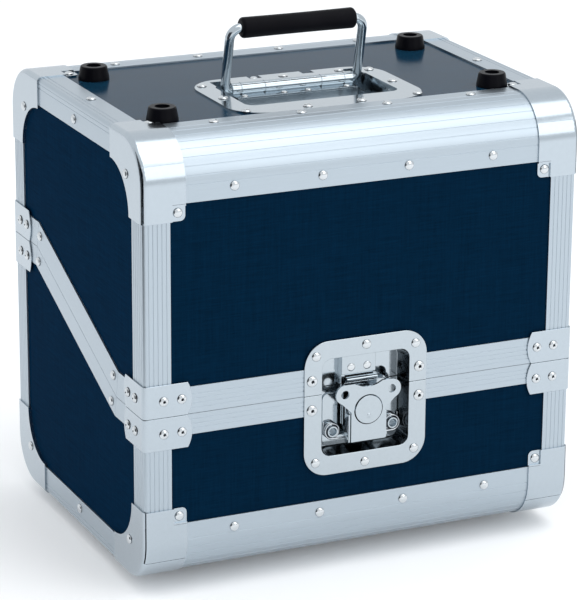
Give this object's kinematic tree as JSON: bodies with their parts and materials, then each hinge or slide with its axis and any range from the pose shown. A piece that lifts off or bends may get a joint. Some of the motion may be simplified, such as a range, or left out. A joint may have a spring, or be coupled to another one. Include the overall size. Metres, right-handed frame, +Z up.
{
  "type": "record carrying case",
  "caption": "Blue plywood record case with aluminium edges, slanted split, pressed steel corners, rubber feet, recessed butterfly latch, rear hinges and a folding top handle.",
  "frame": {"origin": "on the floor under the feet, at the centre of the overall plan", "axes": "+X to the right seen from the front, +Y to the back (hinges), +Z up; the front with the latch faces -Y"},
  "size_m": [0.3692, 0.2915, 0.4165],
  "materials": {
    "panel": "dark blue laminate on plywood, fine weave, satin",
    "aluminium": "extruded, fine grooves, satin",
    "pressed_steel": "pressed steel, bright plated",
    "bright_steel": "bright plated",
    "rubber": "matte black",
    "lining": "dark foam"
  },
  "bodies": {
    "base": {"base_bottom_panel": "panel", "base_front_panel": "panel", "base_back_panel": "panel", "base_left_panel": "panel", "base_right_panel": "panel", "base_front_rail": "aluminium", "base_back_rail": "aluminium", "base_left_angle": "aluminium", "base_right_angle": "aluminium", "base_corner_posts": "aluminium", "base_front_rim": "aluminium", "base_back_rim": "aluminium", "base_left_rim": "aluminium", "base_right_rim": "aluminium", "base_corner_caps": "pressed_steel", "base_brackets": "pressed_steel", "base_rivets": "bright_steel", "base_feet": "rubber", "base_foot_screws": "bright_steel", "base_lining": "lining", "hinge_base_leaves": "bright_steel", "hinge_pins": "bright_steel", "latch_base_dish": "bright_steel", "latch_base_plate": "bright_steel", "latch_springs": "bright_steel", "latch_base_rivets": "bright_steel"},
    "lid": {"lid_top_panel": "panel", "lid_front_panel": "panel", "lid_back_panel": "panel", "lid_left_panel": "panel", "lid_right_panel": "panel", "lid_front_rail": "aluminium", "lid_back_rail": "aluminium", "lid_left_angle": "aluminium", "lid_right_angle": "aluminium", "lid_corner_posts": "aluminium", "lid_front_rim": "aluminium", "lid_back_rim": "aluminium", "lid_left_rim": "aluminium", "lid_right_rim": "aluminium", "lid_corner_caps": "pressed_steel", "lid_brackets": "pressed_steel", "lid_rivets": "bright_steel", "lid_feet": "rubber", "lid_foot_screws": "bright_steel", "lid_lining": "lining", "hinge_lid_leaves": "bright_steel", "latch_lid_dish": "bright_steel", "latch_strike": "bright_steel", "latch_lid_rivets": "bright_steel", "handle_dish": "bright_steel", "handle_barrel": "bright_steel", "handle_rivets": "bright_steel"},
    "handle": {"handle_bail": "bright_steel", "handle_grip": "rubber"},
    "latch_rotor": {"latch_rotor": "bright_steel", "latch_fold_pin": "bright_steel"},
    "latch_butterfly": {"latch_butterfly": "bright_steel"},
    "latch_hook": {"latch_hook": "bright_steel"}
  },
  "joints": [
    {"name": "lid_hinge", "type": "hinge", "parent": "base", "child": "lid", "pos_m": [0, 0.14175, 0.219], "axis": [-1, 0, 0], "range_deg": [0, 180]},
    {"name": "handle_pivot", "type": "hinge", "parent": "lid", "child": "handle", "pos_m": [0, -0.00565, 0.357], "axis": [1, 0, 0], "range_deg": [-12.5, 77.5]},
    {"name": "latch_turn", "type": "hinge", "parent": "base", "child": "latch_rotor", "pos_m": [0.0043, -0.14265, 0.1295], "axis": [0, -1, 0], "range_deg": [0, 180]},
    {"name": "butterfly_fold", "type": "hinge", "parent": "latch_rotor", "child": "latch_butterfly", "pos_m": [0.0043, -0.13965, 0.1067], "axis": [1, 0, 0], "range_deg": [0, 90]},
    {"name": "hook_slide", "type": "slide", "parent": "base", "child": "latch_hook", "axis": [0, 0, 1], "range_m": [0, 0.006]}
  ],
  "couplings": [
    {"joint": "hook_slide", "follows": "latch_turn", "m_per_rad": 0.0019098}
  ]
}
